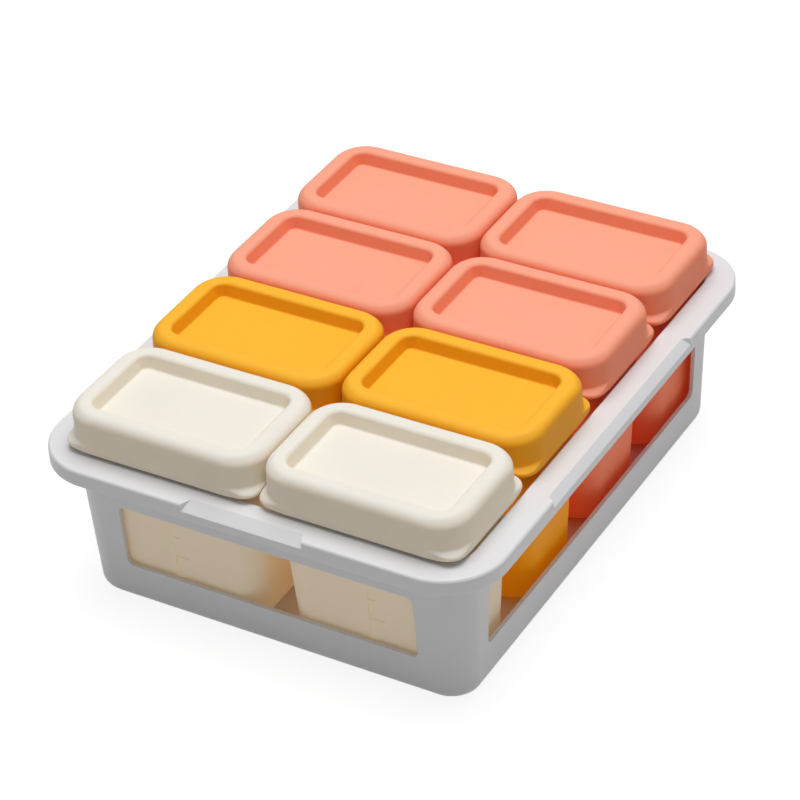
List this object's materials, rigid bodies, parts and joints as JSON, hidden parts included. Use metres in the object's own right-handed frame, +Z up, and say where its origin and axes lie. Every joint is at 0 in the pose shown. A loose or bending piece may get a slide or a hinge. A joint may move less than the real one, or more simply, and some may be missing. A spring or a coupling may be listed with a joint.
{
  "type": "baby food freezer tray",
  "caption": "Windowed plastic caddy with a turned-down rim that holds two columns of tapered silicone cups, each with a lid whose raised border surrounds a recessed panel.",
  "frame": {"origin": "middle of the caddy's underside, in the plane it stands on", "axes": "+Z up; +Y to the back, along the caddy's long side; +X to the right across the two columns of cups"},
  "size_m": [0.1634, 0.2, 0.0736],
  "materials": {
    "tray_white": "satin",
    "silicone_cream": "matte",
    "silicone_yellow": "matte",
    "silicone_coral": "matte"
  },
  "bodies": {
    "tray": {"tray": "tray_white"},
    "cup_1_left": {"cup_1_left": "silicone_cream"},
    "cup_1_right": {"cup_1_right": "silicone_cream"},
    "cup_2_left": {"cup_2_left": "silicone_yellow"},
    "cup_2_right": {"cup_2_right": "silicone_yellow"},
    "cup_3_left": {"cup_3_left": "silicone_coral"},
    "cup_3_right": {"cup_3_right": "silicone_coral"},
    "cup_4_left": {"cup_4_left": "silicone_coral"},
    "cup_4_right": {"cup_4_right": "silicone_coral"},
    "lid_1_left": {"lid_1_left": "silicone_cream"},
    "lid_1_right": {"lid_1_right": "silicone_cream"},
    "lid_2_left": {"lid_2_left": "silicone_yellow"},
    "lid_2_right": {"lid_2_right": "silicone_yellow"},
    "lid_3_left": {"lid_3_left": "silicone_coral"},
    "lid_3_right": {"lid_3_right": "silicone_coral"},
    "lid_4_left": {"lid_4_left": "silicone_coral"},
    "lid_4_right": {"lid_4_right": "silicone_coral"}
  },
  "joints": [
    {"name": "cup_1_left_lift", "type": "slide", "parent": "tray", "child": "cup_1_left", "axis": [0, 0, 1], "range_m": [0, 0.08]},
    {"name": "cup_1_right_lift", "type": "slide", "parent": "tray", "child": "cup_1_right", "axis": [0, 0, 1], "range_m": [0, 0.08]},
    {"name": "cup_2_left_lift", "type": "slide", "parent": "tray", "child": "cup_2_left", "axis": [0, 0, 1], "range_m": [0, 0.08]},
    {"name": "cup_2_right_lift", "type": "slide", "parent": "tray", "child": "cup_2_right", "axis": [0, 0, 1], "range_m": [0, 0.08]},
    {"name": "cup_3_left_lift", "type": "slide", "parent": "tray", "child": "cup_3_left", "axis": [0, 0, 1], "range_m": [0, 0.08]},
    {"name": "cup_3_right_lift", "type": "slide", "parent": "tray", "child": "cup_3_right", "axis": [0, 0, 1], "range_m": [0, 0.08]},
    {"name": "cup_4_left_lift", "type": "slide", "parent": "tray", "child": "cup_4_left", "axis": [0, 0, 1], "range_m": [0, 0.08]},
    {"name": "cup_4_right_lift", "type": "slide", "parent": "tray", "child": "cup_4_right", "axis": [0, 0, 1], "range_m": [0, 0.08]},
    {"name": "lid_1_left_lift", "type": "slide", "parent": "cup_1_left", "child": "lid_1_left", "axis": [0, 0, 1], "range_m": [0, 0.04]},
    {"name": "lid_1_right_lift", "type": "slide", "parent": "cup_1_right", "child": "lid_1_right", "axis": [0, 0, 1], "range_m": [0, 0.04]},
    {"name": "lid_2_left_lift", "type": "slide", "parent": "cup_2_left", "child": "lid_2_left", "axis": [0, 0, 1], "range_m": [0, 0.04]},
    {"name": "lid_2_right_lift", "type": "slide", "parent": "cup_2_right", "child": "lid_2_right", "axis": [0, 0, 1], "range_m": [0, 0.04]},
    {"name": "lid_3_left_lift", "type": "slide", "parent": "cup_3_left", "child": "lid_3_left", "axis": [0, 0, 1], "range_m": [0, 0.04]},
    {"name": "lid_3_right_lift", "type": "slide", "parent": "cup_3_right", "child": "lid_3_right", "axis": [0, 0, 1], "range_m": [0, 0.04]},
    {"name": "lid_4_left_lift", "type": "slide", "parent": "cup_4_left", "child": "lid_4_left", "axis": [0, 0, 1], "range_m": [0, 0.04]},
    {"name": "lid_4_right_lift", "type": "slide", "parent": "cup_4_right", "child": "lid_4_right", "axis": [0, 0, 1], "range_m": [0, 0.04]}
  ]
}
